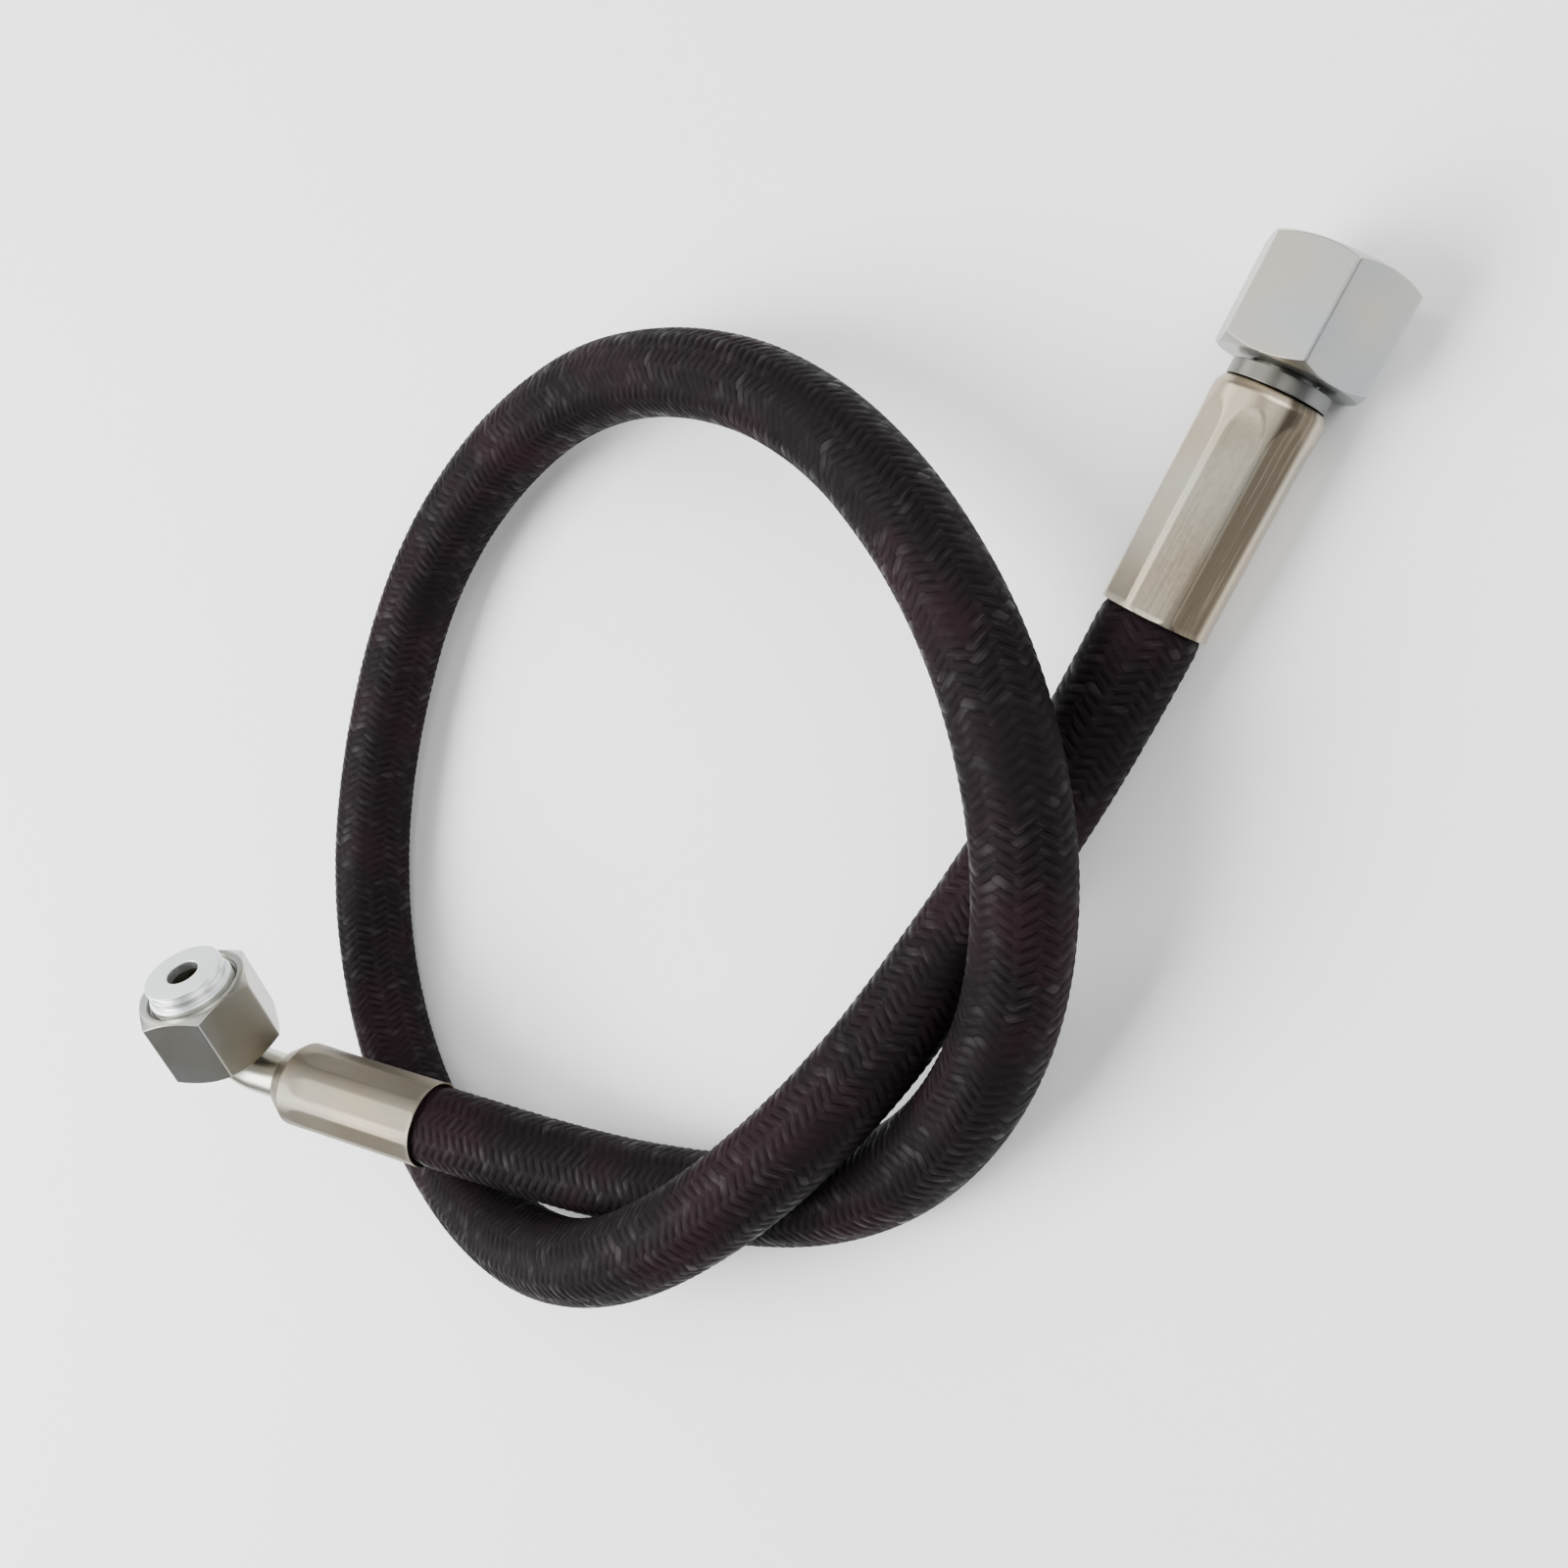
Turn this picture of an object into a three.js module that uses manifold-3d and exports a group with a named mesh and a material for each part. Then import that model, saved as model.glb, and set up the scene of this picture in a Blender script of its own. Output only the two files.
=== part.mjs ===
// Hydraulic hose assembly: a textile-covered hose tied in one loose overhand knot, with a straight
// flat-face swivel fitting on one end (a) and a bent-tube flat-face swivel fitting on the other (b).
// Millimetres, +Z up, standing on z = 0. Fitting a points along +X.
import * as THREE from 'three';
import { mergeVertices } from 'three/addons/utils/BufferGeometryUtils.js';
import Module from 'manifold-3d';

const wasm = await Module();
wasm.setup();

// ---- driving dimensions ----
const GAP = 0.3; // left between pieces that touch
const HOSE_SIDES = 10;
const HOSE_STEPS = 44;
const ROUTE_DIVISIONS = 1200; // for measuring along the route
const HOSE_LAYERS = [
  { name: 'hose_inner_tube', inner: 6.7, outer: 8.0, colour: 0x1d1c1c, finish: matt, tail: true },
  { name: 'hose_textile_braid', inner: 8.35, outer: 8.9, colour: 0x6d665c, finish: matt, tail: true },
  { name: 'hose_wire_braid', inner: 9.25, outer: 9.85, colour: 0x8f9296, finish: steel, tail: true },
  { name: 'hose_cover', inner: 10.2, outer: 11.1, colour: 0x2e2829, finish: matt, tail: false },
];
const HOSE_TAIL = 40; // how far the inner layers run into each ferrule

const BORE_R = 4.5; // clear way through both fittings
const NECK_R = 6.5; // stem neck and elbow tube
// The stem's tail inside the hose; lengths run from the ferrule's rim.
const TAIL = {
  start: 6,
  noseR: 5.0,
  rootR: 5.5,
  barbR: 6.0,
  barbs: 5,
  firstBarb: 8,
  pitch: 6.5,
  barbLength: 5,
};
const NECK_CONE = { start: 2, end: 1 }; // the tail widens to the neck this far short of the flange

const FERRULE = { length: 49.5, outer: 11.8, grip: 10.3, flange: 3.5, lip: NECK_R + GAP, rim: 0.6 };
const FERRULE_NOSE_A = { length: 1.6, radius: 11.0 };
const FERRULE_NOSE_B = { length: 5.5, radius: 8.2 };

const COLLAR = { length: 3.3, radius: 10.6 };
const PLAY_A = 1.1; // room behind nut a, up to the collar

const NUT = {
  flats: 30,
  length: 23,
  lip: 3.6, // thickness of the inward flange at the back
  lipR: 7.2,
  threadR: 12.1, // the thread's pitch radius
  chamfer: 1.5,
  chamferR: 15.0,
  mouthBevel: 1,
};
const RING = { thickness: 1.6, inner: 6.9, outer: 11.4 };
const SLEEVE = { length: 9, outer: 11.7, band: 10.9, bandLength: 3.2, socket: 6, edge: 0.3 };

const ELBOW_DEG = 80;
const ELBOW_R = 11; // centreline radius of the bend
const ELBOW_CORNER = 17.7; // from ferrule b's end to where the two straight axes cross
const ELBOW_FACE = 36.5; // from that corner to the sealing face
const ELBOW_ROLL_DEG = -52; // turn of the bend about the ferrule, from straight up
const NUT_B_PULLED_BACK = 13.7; // nut b sits this far behind its working place
const NUT_A_TURN_DEG = 30;
const NUT_B_TURN_DEG = 17;

const LATHE_SEGMENTS = 24;
const TUBE_SEGMENTS = 20;
const ELBOW_STEPS = 8;
const OVERRUN = 1; // cutting shapes pass the faces they cut by this much
const WELD_DISTANCE = 1e-4;

const COLOURS = {
  ferrule: 0xb2a896,
  stem: 0x6f6e68,
  tube: 0x9a968c,
  sleeve: 0xdde0e0,
  ring: 0x84857f,
  nut: 0xb2b0a5,
};

// The hose's route, end b to end a: control points of a uniform cubic B-spline.
const ROUTE = [
  [-98, 13, 32], [-86, -22, 22], [-70, -59, 12], [-45, -94, 11], [-11, -114, 18], [26, -118, 28],
  [62, -106, 38], [93, -78, 43], [111, -39, 38], [119, 1, 32], [114, 42, 28], [97, 80, 22],
  [65, 107, 17], [25, 119, 15], [-16, 114, 14], [-56, 100, 14], [-91, 78, 11], [-113, 44, 12],
  [-119, 5, 17], [-109, -32, 26], [-84, -62, 36], [-47, -82, 36], [-8, -92, 29], [31, -92, 16],
  [70, -96, 15], [111, -96, 15],
];
// The origin is under the middle of the two fittings' common box.
const ORIGIN = [33, -8, 0];

// ---- small helpers ----
const radians = THREE.MathUtils.degToRad;

function steel(colour) {
  return new THREE.MeshStandardMaterial({ color: colour, roughness: 0.3, metalness: 1 });
}

function matt(colour) {
  return new THREE.MeshStandardMaterial({ color: colour, roughness: 0.7, metalness: 0 });
}

// A solid turned about its z axis, from a closed outline of [radius, height] corners.
function turned(corners) {
  const outline = corners.map(([radius, height]) => new THREE.Vector2(radius, height));
  outline.push(outline[0].clone());
  const geometry = new THREE.LatheGeometry(outline, LATHE_SEGMENTS);
  return geometry.rotateX(Math.PI / 2);
}

function toManifold(geometry) {
  const bare = geometry.clone();
  bare.deleteAttribute('normal');
  bare.deleteAttribute('uv');
  const merged = mergeVertices(bare, WELD_DISTANCE);
  return new wasm.Manifold(new wasm.Mesh({
    numProp: 3,
    vertProperties: Float32Array.from(merged.attributes.position.array),
    triVerts: Uint32Array.from(merged.index.array),
  }));
}

function fromManifold(solid) {
  const mesh = solid.getMesh();
  const geometry = new THREE.BufferGeometry();
  geometry.setAttribute('position', new THREE.BufferAttribute(mesh.vertProperties, 3));
  geometry.setIndex(new THREE.BufferAttribute(mesh.triVerts, 1));
  geometry.computeVertexNormals();
  return geometry;
}

function piece(name, geometry, material) {
  const mesh = new THREE.Mesh(geometry, material);
  mesh.name = name;
  return mesh;
}

// ---- the hose ----
// Uniform cubic B-spline whose mirrored end points make it start and finish straight.
class HoseRoute extends THREE.Curve {
  constructor(points) {
    super();
    const first = points[0].clone().multiplyScalar(2).sub(points[1]);
    const last = points.at(-1).clone().multiplyScalar(2).sub(points.at(-2));
    this.points = [first, ...points, last];
    this.arcLengthDivisions = ROUTE_DIVISIONS;
  }

  getPoint(t, target = new THREE.Vector3()) {
    const spans = this.points.length - 3;
    const along = t * spans;
    const span = Math.min(Math.floor(along), spans - 1);
    const u = along - span;
    const weights = [
      (1 - u) ** 3,
      3 * u ** 3 - 6 * u ** 2 + 4,
      -3 * u ** 3 + 3 * u ** 2 + 3 * u + 1,
      u ** 3,
    ];
    target.set(0, 0, 0);
    weights.forEach((weight, i) => target.addScaledVector(this.points[span + i], weight / 6));
    return target;
  }
}

// A path through fixed stations, so that every layer of the hose has its corners in step.
class StationPath extends THREE.Curve {
  constructor(stations) {
    super();
    this.stations = stations;
  }

  station(u) {
    return this.stations[Math.round(u * (this.stations.length - 1))];
  }

  getPointAt(u) {
    return this.station(u).point.clone();
  }

  getTangentAt(u) {
    return this.station(u).tangent.clone();
  }
}

function hoseStations(route) {
  const stations = [];
  for (let i = 0; i <= HOSE_STEPS; i += 1) {
    const u = i / HOSE_STEPS;
    stations.push({ point: route.getPointAt(u), tangent: route.getTangentAt(u) });
  }
  return stations;
}

// Moves a path's two ends along their own tangents: outwards by a positive distance.
function withEnds(stations, distance) {
  const [first, last] = [stations[0], stations.at(-1)];
  const start = first.point.clone().addScaledVector(first.tangent, -distance);
  const end = last.point.clone().addScaledVector(last.tangent, distance);
  const startStation = { point: start, tangent: first.tangent };
  const endStation = { point: end, tangent: last.tangent };
  if (distance > 0) return [startStation, ...stations, endStation];
  return [startStation, ...stations.slice(1, -1), endStation];
}

function polygonPath(PathClass, radius) {
  const outline = new PathClass();
  for (let i = 0; i < HOSE_SIDES; i += 1) {
    const angle = (i / HOSE_SIDES) * 2 * Math.PI;
    const [x, y] = [radius * Math.cos(angle), radius * Math.sin(angle)];
    if (i === 0) outline.moveTo(x, y);
    else outline.lineTo(x, y);
  }
  outline.closePath();
  return outline;
}

function hoseLayer({ name, inner, outer, colour, finish, tail }, stations) {
  const section = polygonPath(THREE.Shape, outer);
  section.holes.push(polygonPath(THREE.Path, inner));
  const path = new StationPath(withEnds(stations, tail ? HOSE_TAIL : -GAP));
  const geometry = new THREE.ExtrudeGeometry(section, {
    steps: path.stations.length - 1,
    extrudePath: path,
    curveSegments: 1,
  });
  return piece(name, geometry, finish(colour));
}

// ---- turned pieces of a fitting; z runs from the hose's end (z = 0) towards the mouth ----
function ferrule(name, nose) {
  const { length, outer, grip, flange, lip, rim } = FERRULE;
  return piece(name, turned([
    [grip, 0],
    [outer - rim, 0],
    [outer, rim],
    [outer, length - nose.length],
    [nose.radius, length],
    [lip, length],
    [lip, length - flange],
    [grip, length - flange],
  ]), steel(COLOURS.ferrule));
}

// The barbed tail that the hose is crimped onto, from its nose up to the ferrule's inner flange.
function tailOutline() {
  const { start, noseR, rootR, barbR, barbs, firstBarb, pitch, barbLength } = TAIL;
  const flangeFace = FERRULE.length - FERRULE.flange;
  const corners = [[BORE_R, start], [noseR, start]];
  for (let i = 0; i < barbs; i += 1) {
    const root = firstBarb + i * pitch;
    corners.push([rootR, root], [barbR, root + barbLength]);
  }
  corners.push([rootR, firstBarb + barbs * pitch]);
  corners.push([rootR, flangeFace - NECK_CONE.start]);
  corners.push([NECK_R, flangeFace - NECK_CONE.end]);
  return corners;
}

const collarBase = FERRULE.length + GAP;
const collarTop = collarBase + COLLAR.length;
const nutBackA = collarTop + PLAY_A;
const sleeveBack = NUT.lip + GAP + RING.thickness + GAP; // from the nut's back, nut pulled forward
const neckIntoSleeve = SLEEVE.socket - GAP;

function stemA() {
  const end = nutBackA + sleeveBack + neckIntoSleeve;
  return piece('stem_a', turned([
    ...tailOutline(),
    [NECK_R, collarBase],
    [COLLAR.radius, collarBase],
    [COLLAR.radius, collarTop],
    [NECK_R, collarTop],
    [NECK_R, end],
    [BORE_R, end],
  ]), steel(COLOURS.stem));
}

const stemEndB = FERRULE.length + 2; // the stem stands this much out of ferrule b

function stemB() {
  return piece('stem_b', turned([
    ...tailOutline(),
    [NECK_R, stemEndB],
    [BORE_R, stemEndB],
  ]), steel(COLOURS.tube));
}

// The head with the flat sealing face, at z = 0 for its back.
function sleeve(name) {
  const { length, outer, band, bandLength, socket, edge } = SLEEVE;
  return piece(name, turned([
    [NECK_R + GAP, 0],
    [outer - edge, 0],
    [outer, edge],
    [outer, length - bandLength],
    [band, length - bandLength],
    [band, length - edge],
    [band - edge, length],
    [BORE_R, length],
    [BORE_R, socket],
    [NECK_R + GAP, socket],
  ]), steel(COLOURS.sleeve));
}

function thrustRing(name) {
  const { thickness, inner, outer } = RING;
  const outline = [[inner, 0], [outer, 0], [outer, thickness], [inner, thickness]];
  return piece(name, turned(outline), steel(COLOURS.ring));
}

// Hexagon with one corner on the x axis, both ends turned to a chamfer, then bored out.
function swivelNut(name) {
  const { flats, length, lip, lipR, threadR, chamfer, chamferR, mouthBevel } = NUT;
  const cornerR = flats / Math.sqrt(3);
  const hexagon = new THREE.Shape();
  for (let i = 0; i < 6; i += 1) {
    const angle = radians(60 * i);
    const [x, y] = [cornerR * Math.cos(angle), cornerR * Math.sin(angle)];
    if (i === 0) hexagon.moveTo(x, y);
    else hexagon.lineTo(x, y);
  }
  hexagon.closePath();
  const prism = new THREE.ExtrudeGeometry(hexagon, { depth: length, bevelEnabled: false });
  const spread = ((cornerR - chamferR) / chamfer) * OVERRUN; // the chamfer cone's, over the overrun
  const turnedBlank = turned([
    [0, -OVERRUN],
    [chamferR - spread, -OVERRUN],
    [cornerR + spread, chamfer + OVERRUN],
    [cornerR + spread, length - chamfer - OVERRUN],
    [chamferR - spread, length + OVERRUN],
    [0, length + OVERRUN],
  ]);
  const bore = turned([
    [0, -OVERRUN],
    [lipR, -OVERRUN],
    [lipR, lip],
    [threadR, lip],
    [threadR, length - mouthBevel],
    [threadR + mouthBevel + OVERRUN, length + OVERRUN],
    [0, length + OVERRUN],
  ]);
  const solid = toManifold(prism).intersect(toManifold(turnedBlank)).subtract(toManifold(bore));
  return piece(name, fromManifold(solid), steel(COLOURS.nut));
}

// The bent tube of fitting b: straight, bend in the xz plane towards +x, straight.
function elbowTube() {
  const angle = radians(ELBOW_DEG);
  const up = new THREE.Vector3(0, 0, 1);
  const out = new THREE.Vector3(Math.sin(angle), 0, Math.cos(angle));
  const corner = FERRULE.length + ELBOW_CORNER;
  const bendStart = corner - ELBOW_R * Math.tan(angle / 2);
  const outLength = ELBOW_FACE - SLEEVE.length + neckIntoSleeve;
  const start = new THREE.Vector3(0, 0, stemEndB + GAP);
  const end = new THREE.Vector3(0, 0, corner).addScaledVector(out, outLength);
  const stations = [{ point: start, tangent: up }];
  for (let i = 0; i <= ELBOW_STEPS; i += 1) {
    const turn = (i / ELBOW_STEPS) * angle;
    const [sine, cosine] = [Math.sin(turn), Math.cos(turn)];
    stations.push({
      point: new THREE.Vector3(ELBOW_R * (1 - cosine), 0, bendStart + ELBOW_R * sine),
      tangent: new THREE.Vector3(sine, 0, cosine),
    });
  }
  stations.push({ point: end, tangent: out });
  const section = new THREE.Shape().absarc(0, 0, NECK_R, 0, 2 * Math.PI, false);
  section.holes.push(new THREE.Path().absarc(0, 0, BORE_R, 0, 2 * Math.PI, true));
  const geometry = new THREE.ExtrudeGeometry(section, {
    steps: stations.length - 1,
    extrudePath: new StationPath(stations),
    curveSegments: TUBE_SEGMENTS,
  });
  return piece('elbow_tube_b', geometry, steel(COLOURS.tube));
}

// ---- the two ends ----
// A frame at a hose end: z along direction, x as near to side as it can be.
function endFrame(point, direction, side) {
  const z = direction.clone().normalize();
  const y = new THREE.Vector3().crossVectors(z, side).normalize();
  const x = new THREE.Vector3().crossVectors(y, z);
  const frame = new THREE.Group();
  frame.quaternion.setFromRotationMatrix(new THREE.Matrix4().makeBasis(x, y, z));
  frame.position.copy(point);
  return frame;
}

// The nut, ring and sleeve on an axis, with the sleeve's face at the group's origin.
function swivelHead(end, pulledBack, turnDeg) {
  const head = new THREE.Group();
  const headSleeve = sleeve(`sleeve_${end}`);
  headSleeve.position.z = -SLEEVE.length;
  const nut = swivelNut(`swivel_nut_${end}`);
  nut.position.z = -SLEEVE.length - sleeveBack - pulledBack;
  nut.rotation.z = radians(turnDeg);
  const ring = thrustRing(`thrust_ring_${end}`);
  ring.position.z = nut.position.z + NUT.lip + GAP;
  head.add(headSleeve, nut, ring);
  return head;
}

function straightEnd(station) {
  const frame = endFrame(station.point, station.tangent, new THREE.Vector3(0, 0, 1));
  const head = swivelHead('a', 0, NUT_A_TURN_DEG);
  head.position.z = nutBackA + sleeveBack + SLEEVE.length;
  frame.add(ferrule('ferrule_a', FERRULE_NOSE_A), stemA(), head);
  return frame;
}

function bentEnd(station) {
  const outwards = station.tangent.clone().negate();
  const level = new THREE.Vector3(0, 0, 1).cross(outwards).normalize();
  const rise = outwards.clone().cross(level);
  const roll = radians(ELBOW_ROLL_DEG);
  const side = rise.multiplyScalar(Math.cos(roll)).addScaledVector(level, Math.sin(roll));
  const frame = endFrame(station.point, outwards, side);
  const angle = radians(ELBOW_DEG);
  const head = swivelHead('b', NUT_B_PULLED_BACK, NUT_B_TURN_DEG);
  head.rotation.y = angle;
  head.position.set(
    ELBOW_FACE * Math.sin(angle),
    0,
    FERRULE.length + ELBOW_CORNER + ELBOW_FACE * Math.cos(angle),
  );
  frame.add(ferrule('ferrule_b', FERRULE_NOSE_B), stemB(), elbowTube(), head);
  return frame;
}

// ---- assembly ----
const route = new HoseRoute(ROUTE.map((point) => new THREE.Vector3(...point)));
const stations = hoseStations(route);
const assembly = new THREE.Group();
assembly.position.set(-ORIGIN[0], -ORIGIN[1], -ORIGIN[2]);
for (const layer of HOSE_LAYERS) assembly.add(hoseLayer(layer, stations));
assembly.add(straightEnd(stations.at(-1)), bentEnd(stations[0]));

const model = new THREE.Group();
model.add(assembly);
export default model;
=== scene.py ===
import math

import bpy
import numpy as np
from mathutils import Matrix


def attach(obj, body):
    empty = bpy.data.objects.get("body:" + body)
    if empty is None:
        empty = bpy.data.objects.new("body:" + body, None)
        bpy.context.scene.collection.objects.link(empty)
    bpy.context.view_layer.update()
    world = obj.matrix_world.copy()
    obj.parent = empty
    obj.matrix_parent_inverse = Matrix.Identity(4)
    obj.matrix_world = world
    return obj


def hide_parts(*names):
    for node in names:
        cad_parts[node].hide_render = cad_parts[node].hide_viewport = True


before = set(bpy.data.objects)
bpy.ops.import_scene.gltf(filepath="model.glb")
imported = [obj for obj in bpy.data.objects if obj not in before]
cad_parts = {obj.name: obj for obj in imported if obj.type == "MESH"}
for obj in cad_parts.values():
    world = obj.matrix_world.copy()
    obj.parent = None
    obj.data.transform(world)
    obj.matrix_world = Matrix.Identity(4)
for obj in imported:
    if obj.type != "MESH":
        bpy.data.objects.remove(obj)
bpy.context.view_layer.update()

MM = 0.001
TURN = 2 * math.pi


# ---- camera ----
def unit(vector):
    return np.array(vector, float) / np.linalg.norm(vector)


def add_camera():
    """A camera above and in front of the straight fitting, rolled so that this fitting points up."""
    place = (0.094, -0.214, 0.3059)
    ahead = unit((-0.2555, 0.5309, -0.8080))
    right = unit(np.cross(ahead, np.cross((0.4197, -0.6920, -0.5874), ahead)))
    up = np.cross(right, ahead)
    data = bpy.data.cameras.new("photo_camera")
    data.sensor_width = 36
    data.lens = 33.75
    data.clip_start = 0.01
    camera = bpy.data.objects.new("photo_camera", data)
    camera.matrix_world = Matrix([
        (right[i], up[i], -ahead[i], place[i]) for i in range(3)
    ] + [(0, 0, 0, 1)])
    bpy.context.scene.collection.objects.link(camera)
    bpy.context.scene.camera = camera


add_camera()


# ---- the hose's route, end b to end a: control points of a uniform cubic B-spline ----
ORIGIN = np.array([0.033, -0.008, 0])
ROUTE = np.array([
    (-0.098, 0.013, 0.032), (-0.086, -0.022, 0.022), (-0.070, -0.059, 0.012),
    (-0.045, -0.094, 0.011), (-0.011, -0.114, 0.018), (0.026, -0.118, 0.028),
    (0.062, -0.106, 0.038), (0.093, -0.078, 0.043), (0.111, -0.039, 0.038),
    (0.119, 0.001, 0.032), (0.114, 0.042, 0.028), (0.097, 0.080, 0.022),
    (0.065, 0.107, 0.017), (0.025, 0.119, 0.015), (-0.016, 0.114, 0.014),
    (-0.056, 0.100, 0.014), (-0.091, 0.078, 0.011), (-0.113, 0.044, 0.012),
    (-0.119, 0.005, 0.017), (-0.109, -0.032, 0.026), (-0.084, -0.062, 0.036),
    (-0.047, -0.082, 0.036), (-0.008, -0.092, 0.029), (0.031, -0.092, 0.016),
    (0.070, -0.096, 0.015), (0.111, -0.096, 0.015),
]) - ORIGIN
HOSE_R = 11.1 * MM
TUCKED = 2.5 * MM  # how far the cover shows inside each ferrule's mouth

CARRIERS = 14  # yarns in each direction
LEAD = 34.5 * MM  # along the hose, for one turn of a yarn
YARN_RISE = 0.27 * MM
YARN_WAVE = 0.16 * MM
YARN_ROUNDNESS = 2.6
YARN_WANDER = 0.2  # of a yarn's width
SWAY = 0.12 * MM  # unevenness of the hose's outline
PINCH = 0.55 * MM  # how much each ferrule's mouth squeezes the cover
PINCH_REACH = 4 * MM
AROUND = 9 * CARRIERS  # mesh columns round the hose
ALONG = 0.43 * MM  # between mesh rings
STEPS = 60  # points on each span of the route


def spline(points, steps):
    """Points along the uniform cubic B-spline that starts and ends straight."""
    held = np.vstack([2 * points[0] - points[1], points, 2 * points[-1] - points[-2]])
    u = np.linspace(0, 1, steps, endpoint=False)[:, None, None]
    weights = np.concatenate([
        (1 - u) ** 3,
        3 * u ** 3 - 6 * u ** 2 + 4,
        -3 * u ** 3 + 3 * u ** 2 + 3 * u + 1,
        u ** 3,
    ], axis=1) / 6
    spans = [(weights * held[i:i + 4]).sum(axis=1) for i in range(len(held) - 3)]
    return np.vstack(spans + [points[-1]])


def resampled(line, spacing, overrun):
    """The line at even spacing, run on straight by overrun at both ends."""
    start = line[0] - overrun * unit(line[1] - line[0])
    end = line[-1] + overrun * unit(line[-1] - line[-2])
    line = np.vstack([start, line, end])
    reach = np.append(0, np.cumsum(np.linalg.norm(np.diff(line, axis=0), axis=1)))
    stops = np.linspace(0, reach[-1], round(reach[-1] / spacing) + 1)
    return np.stack([np.interp(stops, reach, line[:, k]) for k in range(3)], axis=1), stops


def carried_frames(line, first_x):
    """Tangents and two cross directions along the line, carried without twist."""
    tangents = np.gradient(line, axis=0)
    tangents /= np.linalg.norm(tangents, axis=1)[:, None]
    x = first_x
    xs = []
    for tangent in tangents:
        x = unit(x - tangent * (x @ tangent))
        xs.append(x)
    xs = np.array(xs)
    return tangents, xs, np.cross(tangents, xs)


# ---- meshes ----
def mesh_piece(name, grid, around, along, wraps, sharp_degrees=28):
    """A closed mesh from a grid of points [row, column, xyz] whose columns go round. With wraps the
    rows come back to the first one; without it the first and last rows are closed by flat faces.
    around (in turns) and along are broadcast over the grid and kept as surface coordinates."""
    rows, columns = grid.shape[:2]
    row, column = np.meshgrid(np.arange(rows if wraps else rows - 1), np.arange(columns), indexing="ij")
    next_row, next_column = (row + 1) % rows, (column + 1) % columns
    corners = np.stack([
        row * columns + column,
        row * columns + next_column,
        next_row * columns + next_column,
        next_row * columns + column,
    ], axis=-1).reshape(-1, 4)
    faces = corners.tolist()
    if not wraps:
        faces.append(list(range(columns - 1, -1, -1)))
        faces.append(list(range((rows - 1) * columns, rows * columns)))
    mesh = bpy.data.meshes.new(name)
    mesh.from_pydata(grid.reshape(-1, 3).tolist(), [], faces)
    surface = np.stack(np.broadcast_arrays(around, along), axis=-1)
    surface = np.concatenate([surface, surface[:, :1] + (1, 0)], axis=1)
    surface = np.concatenate([surface, 2 * surface[-1:] - surface[-2:-1]], axis=0)
    quads = np.stack([
        surface[row, column],
        surface[row, column + 1],
        surface[row + 1, column + 1],
        surface[row + 1, column],
    ], axis=2).reshape(-1)
    layer = mesh.uv_layers.new(name="surface")
    values = np.zeros(2 * len(mesh.loops), np.float32)
    values[:len(quads)] = quads
    layer.data.foreach_set("uv", values)
    mesh.shade_smooth()
    mesh.set_sharp_from_angle(angle=math.radians(sharp_degrees))
    mesh.validate()
    if signed_volume(mesh) < 0:
        mesh.flip_normals()
    piece = bpy.data.objects.new(name, mesh)
    bpy.context.scene.collection.objects.link(piece)
    return piece


def signed_volume(mesh):
    mesh.calc_loop_triangles()
    points = np.empty(3 * len(mesh.vertices))
    mesh.vertices.foreach_get("co", points)
    points = points.reshape(-1, 3)
    triangles = np.empty(3 * len(mesh.loop_triangles), int)
    mesh.loop_triangles.foreach_get("vertices", triangles)
    a, b, c = (points[triangles.reshape(-1, 3)[:, k]] for k in range(3))
    return np.einsum("ij,ij->i", a, np.cross(b, c)).sum() / 6


def patches(around, reach, cells_around, cells_per_metre, seed):
    """Smooth random values from 0 to 1 over the hose's surface, the same each time for a seed."""
    columns, rows = cells_around, int(reach.max() * cells_per_metre) + 2
    values = np.random.default_rng(seed).random((rows, columns))
    column, row = around * columns, reach * cells_per_metre
    left, below = np.floor(column).astype(int), np.floor(row).astype(int)
    s, t = (part * part * (3 - 2 * part) for part in (column - left, row - below))
    first, second = (
        values[line, left % columns] * (1 - s) + values[line, (left + 1) % columns] * s
        for line in (below, below + 1)
    )
    return first * (1 - t) + second * t


def weave_height(around, along):
    """Height of a two-over-two braid; around and along are in turns of the hose and leads of a yarn."""
    right, left = (around + along) * CARRIERS, (around - along) * CARRIERS

    def yarn(across, crossed, over_at):
        crown = 1 - np.abs(2 * np.mod(across, 1) - 1) ** YARN_ROUNDNESS
        phase = np.mod(np.floor(across) + crossed, 4)
        return YARN_RISE * crown + YARN_WAVE * np.cos((phase - over_at) * math.pi / 2)

    return np.maximum(yarn(right, left, 1), yarn(left, right, 3))


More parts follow.
